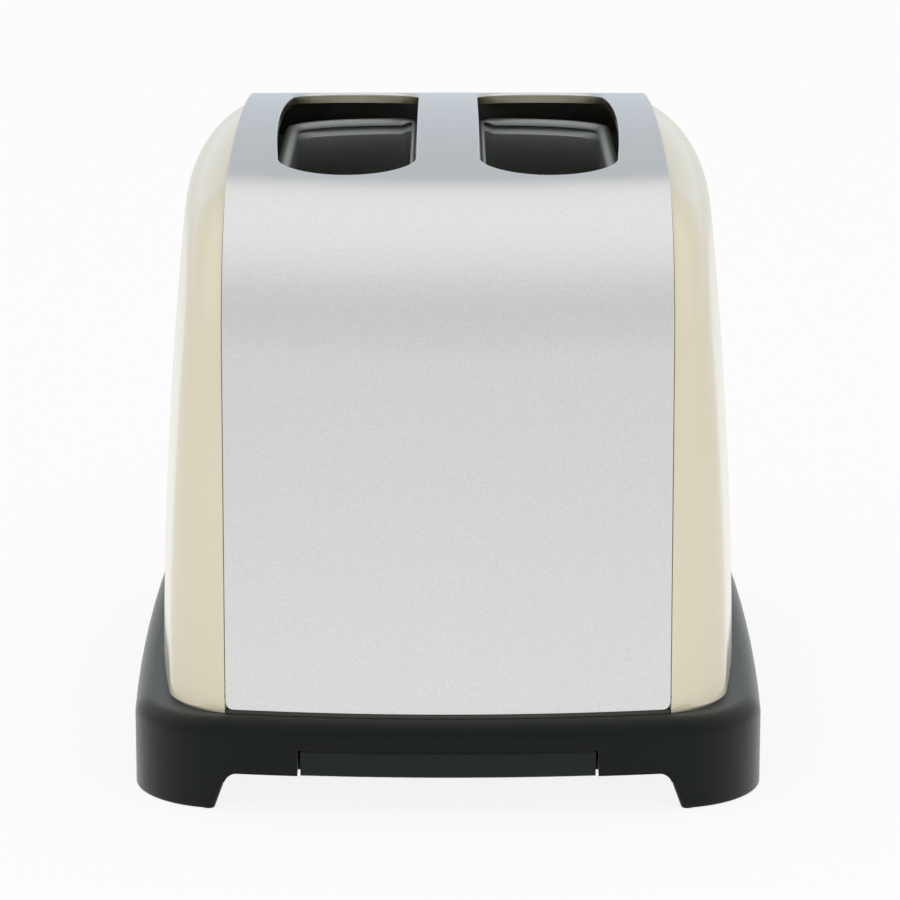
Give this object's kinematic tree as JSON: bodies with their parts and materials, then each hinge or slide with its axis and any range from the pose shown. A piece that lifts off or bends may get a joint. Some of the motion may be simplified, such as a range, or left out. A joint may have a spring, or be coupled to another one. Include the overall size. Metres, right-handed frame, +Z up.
{
  "type": "pop up toaster",
  "caption": "Pop up toaster with long slots in a satin silver wrap, gloss cream side panels, a black footed base, a sprung carriage lever, a browning dial, buttons and a crumb tray.",
  "frame": {"origin": "middle of the overall box, on the table under the foot pads", "axes": "+Z up; Y along the slots, the plain end with the crumb tray at -Y and the control end with the lever at +Y; X across the slots"},
  "size_m": [0.1956, 0.2926, 0.1894],
  "materials": {
    "satin_steel": "satin, fine grain",
    "cream_gloss": "high gloss cream",
    "black_plastic": "matt black",
    "soft_pad": "matt",
    "tray_sheet": "bright sheet",
    "chassis_sheet": "galvanised sheet",
    "liner_steel": "bright sheet",
    "spring_steel": "drawn wire",
    "polished_rod": "plated",
    "magnet_iron": "machined",
    "copper_winding": "enamelled wire",
    "board_laminate": "printed board",
    "component_black": "moulded",
    "pale_plastic": "moulded",
    "mica": "mica sheet",
    "heater_alloy": "oxidised ribbon",
    "guard_wire": "plated wire"
  },
  "bodies": {
    "chassis": {"wrap_band": "satin_steel", "side_panel_right": "cream_gloss", "side_panel_left": "cream_gloss", "base": "black_plastic", "button_guide": "black_plastic", "foot_pads": "soft_pad", "cord_bush": "soft_pad", "reflector_left": "tray_sheet", "reflector_right": "tray_sheet", "rear_end_plate": "chassis_sheet", "control_end_plate": "chassis_sheet", "slot_liner_left": "liner_steel", "slot_liner_right": "liner_steel", "return_spring": "spring_steel", "guide_rod_left": "polished_rod", "guide_rod_right": "polished_rod", "plate_screws": "polished_rod", "panel_screws": "polished_rod", "magnet_core": "magnet_iron", "magnet_coil": "copper_winding", "circuit_board": "board_laminate", "power_relay": "component_black", "switch_contacts": "component_black", "potentiometer": "component_black", "button_switches": "component_black", "terminal_block": "pale_plastic", "heater_card_left_inner": "mica", "heater_ribbon_left_inner": "heater_alloy", "heater_card_left_outer": "mica", "heater_ribbon_left_outer": "heater_alloy", "heater_card_right_inner": "mica", "heater_ribbon_right_inner": "heater_alloy", "heater_card_right_outer": "mica", "heater_ribbon_right_outer": "heater_alloy"},
    "carriage": {"carriage_plate": "chassis_sheet", "carriage_bush_left": "pale_plastic", "carriage_bush_right": "pale_plastic", "bread_rack_left": "chassis_sheet", "bread_rack_right": "chassis_sheet", "lever_arm": "chassis_sheet", "lever_knob": "black_plastic", "latch_keeper": "magnet_iron"},
    "crumb_tray_drawer": {"crumb_tray": "tray_sheet", "crumb_tray_lip": "black_plastic"},
    "browning_knob": {"browning_dial": "black_plastic", "dial_shaft": "polished_rod"},
    "cancel_button_body": {"cancel_button": "black_plastic"},
    "reheat_button_body": {"reheat_button": "black_plastic"},
    "defrost_button_body": {"defrost_button": "black_plastic"},
    "bagel_button_body": {"bagel_button": "black_plastic"},
    "bread_guard_left_inner_body": {"bread_guard_left_inner": "guard_wire"},
    "bread_guard_left_outer_body": {"bread_guard_left_outer": "guard_wire"},
    "bread_guard_right_inner_body": {"bread_guard_right_inner": "guard_wire"},
    "bread_guard_right_outer_body": {"bread_guard_right_outer": "guard_wire"}
  },
  "joints": [
    {"name": "carriage_slide", "type": "slide", "parent": "chassis", "child": "carriage", "axis": [0, 0, -1], "range_m": [0, 0.07], "stiffness_N_per_m": 40, "springref_m": -0.15, "deforming": ["return_spring"]},
    {"name": "tray_slide", "type": "slide", "parent": "chassis", "child": "crumb_tray_drawer", "axis": [0, -1, 0], "range_m": [0, 0.2]},
    {"name": "dial_turn", "type": "hinge", "parent": "chassis", "child": "browning_knob", "pos_m": [0, 0.132, 0.048], "axis": [0, 1, 0], "range_deg": [-135, 135]},
    {"name": "cancel_press", "type": "slide", "parent": "chassis", "child": "cancel_button_body", "axis": [0, -1, 0], "range_m": [0, 0.002], "stiffness_N_per_m": 400, "springref_m": -0.001},
    {"name": "reheat_press", "type": "slide", "parent": "chassis", "child": "reheat_button_body", "axis": [0, -1, 0], "range_m": [0, 0.002], "stiffness_N_per_m": 400, "springref_m": -0.001},
    {"name": "defrost_press", "type": "slide", "parent": "chassis", "child": "defrost_button_body", "axis": [0, -1, 0], "range_m": [0, 0.002], "stiffness_N_per_m": 400, "springref_m": -0.001},
    {"name": "bagel_press", "type": "slide", "parent": "chassis", "child": "bagel_button_body", "axis": [0, -1, 0], "range_m": [0, 0.002], "stiffness_N_per_m": 400, "springref_m": -0.001},
    {"name": "guard_left_inner_lean", "type": "hinge", "parent": "chassis", "child": "bread_guard_left_inner_body", "pos_m": [-0.0137, -0.00531, 0.047], "axis": [0, -1, 0], "range_deg": [0, 4]},
    {"name": "guard_left_outer_lean", "type": "hinge", "parent": "chassis", "child": "bread_guard_left_outer_body", "pos_m": [-0.0501, -0.00531, 0.047], "axis": [0, 1, 0], "range_deg": [0, 4]},
    {"name": "guard_right_inner_lean", "type": "hinge", "parent": "chassis", "child": "bread_guard_right_inner_body", "pos_m": [0.0137, -0.00531, 0.047], "axis": [0, 1, 0], "range_deg": [0, 4]},
    {"name": "guard_right_outer_lean", "type": "hinge", "parent": "chassis", "child": "bread_guard_right_outer_body", "pos_m": [0.0501, -0.00531, 0.047], "axis": [0, -1, 0], "range_deg": [0, 4]}
  ],
  "couplings": [
    {"joint": "guard_left_inner_lean", "follows": "carriage_slide", "rad_per_m": 0.997},
    {"joint": "guard_left_outer_lean", "follows": "carriage_slide", "rad_per_m": 0.997},
    {"joint": "guard_right_inner_lean", "follows": "carriage_slide", "rad_per_m": 0.997},
    {"joint": "guard_right_outer_lean", "follows": "carriage_slide", "rad_per_m": 0.997}
  ]
}
